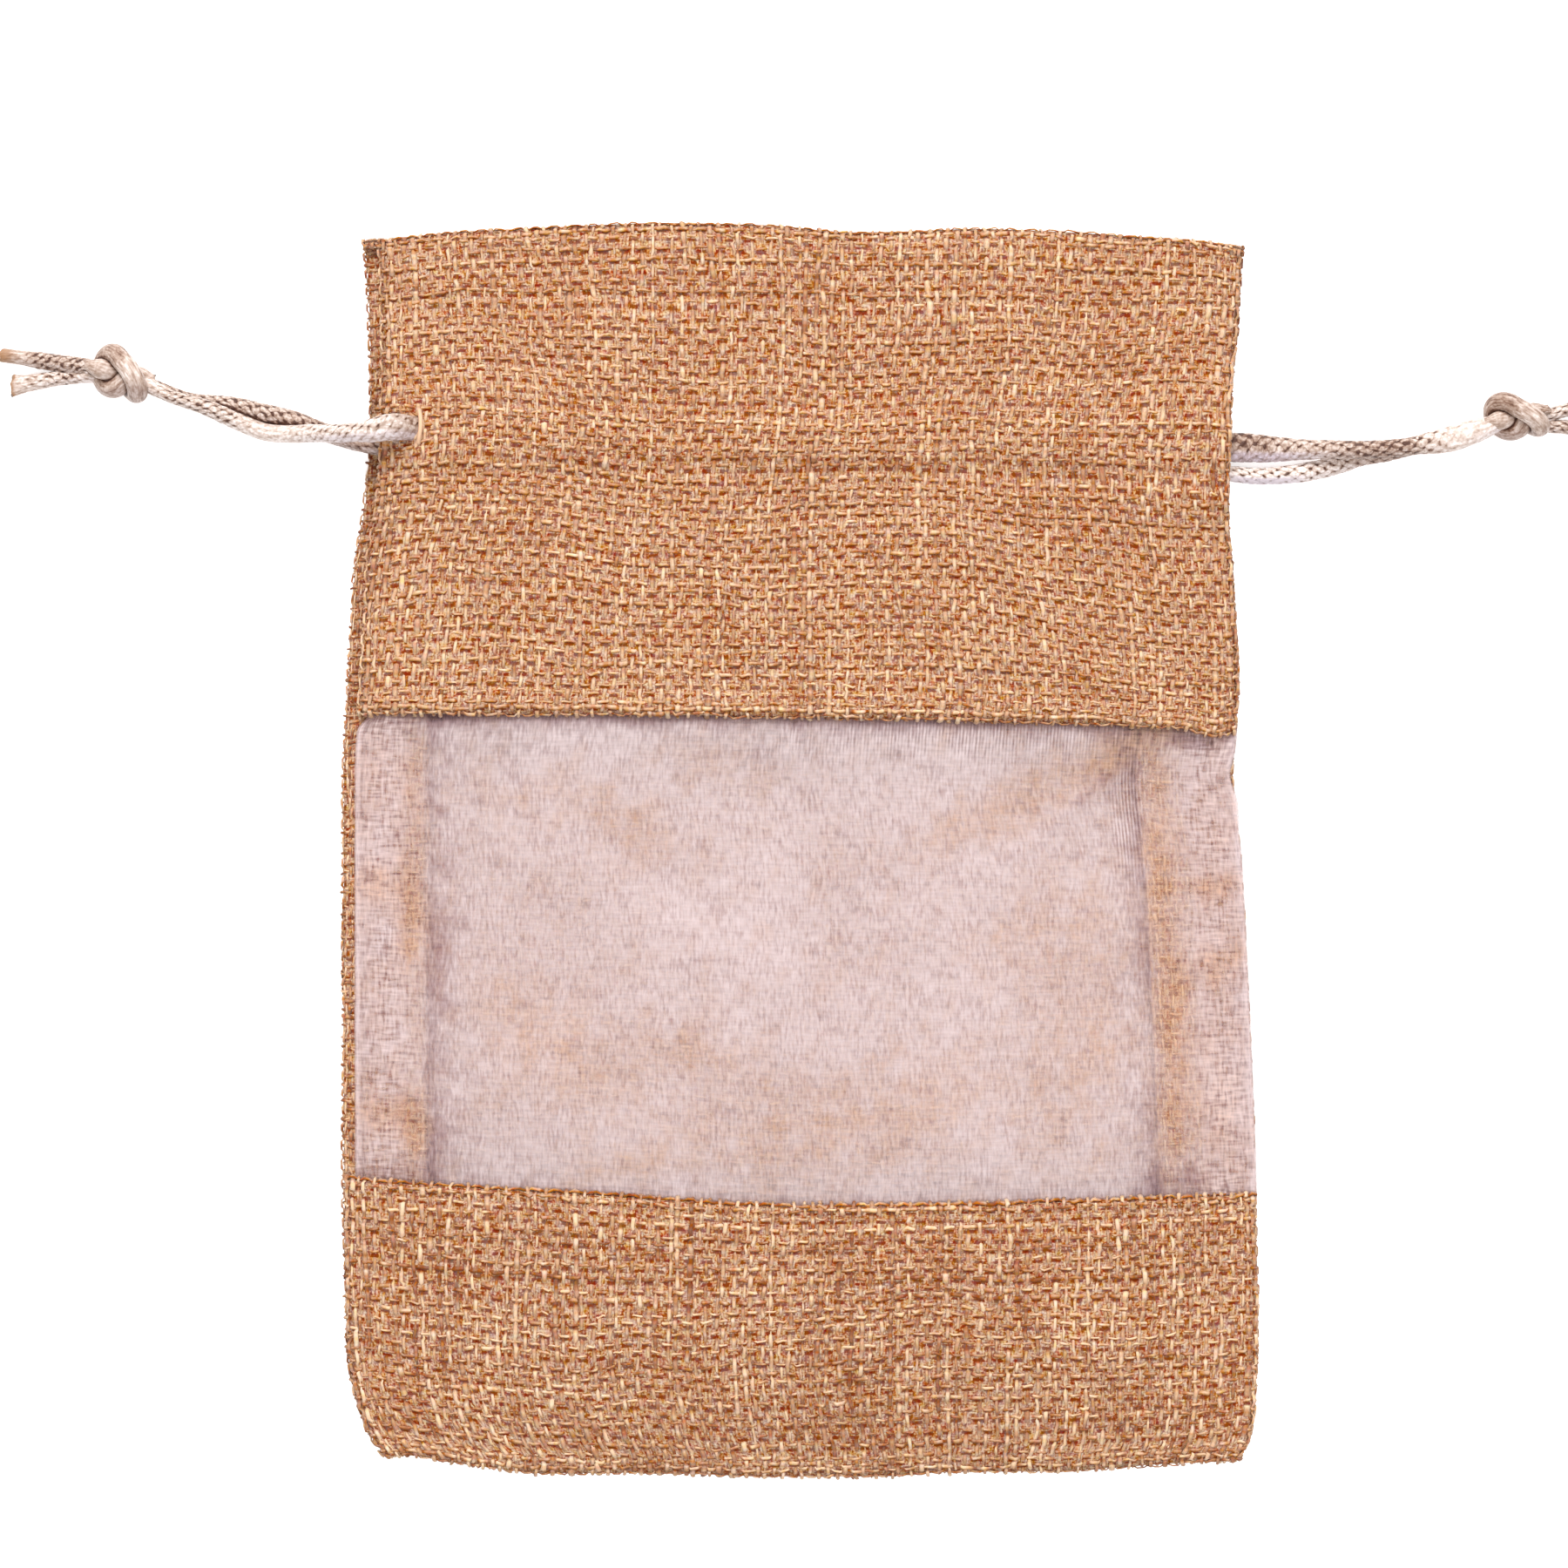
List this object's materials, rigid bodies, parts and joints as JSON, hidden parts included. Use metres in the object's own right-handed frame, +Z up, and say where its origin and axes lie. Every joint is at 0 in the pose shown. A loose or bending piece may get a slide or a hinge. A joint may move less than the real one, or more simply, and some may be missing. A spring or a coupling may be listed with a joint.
{
  "type": "linen drawstring bag",
  "caption": "Small flat drawstring pouch of coarse linen weave with a sheer organza window in its front and satin cords knotted at both sides.",
  "frame": {"origin": "middle of the cloth's resting face, at the height of the surface it lies on, the cords not counted", "axes": "+X across the pouch to its right side as the window faces up, +Y from the bottom seam to the mouth, +Z up from the surface through the window"},
  "size_m": [0.1845, 0.1412, 0.0085],
  "materials": {
    "linen": "coarse plain weave, dry and matte, sandy tan with rust-orange gaps",
    "organza": "sheer fine plain weave, pale pink with a faint sheen",
    "satin_cord": "braided satin cord, silvery taupe, soft gloss"
  },
  "bodies": {
    "root": {"back_panel": "linen", "front_top_panel": "linen", "window_panel": "organza", "front_bottom_panel": "linen", "left_cord_front": "satin_cord", "left_cord_back": "satin_cord", "left_knot": "satin_cord", "left_tail_upper": "satin_cord", "left_tail_lower": "satin_cord", "right_cord_upper": "satin_cord", "right_cord_lower": "satin_cord", "right_knot": "satin_cord", "right_tail_upper": "satin_cord", "right_tail_lower": "satin_cord"}
  },
  "joints": []
}
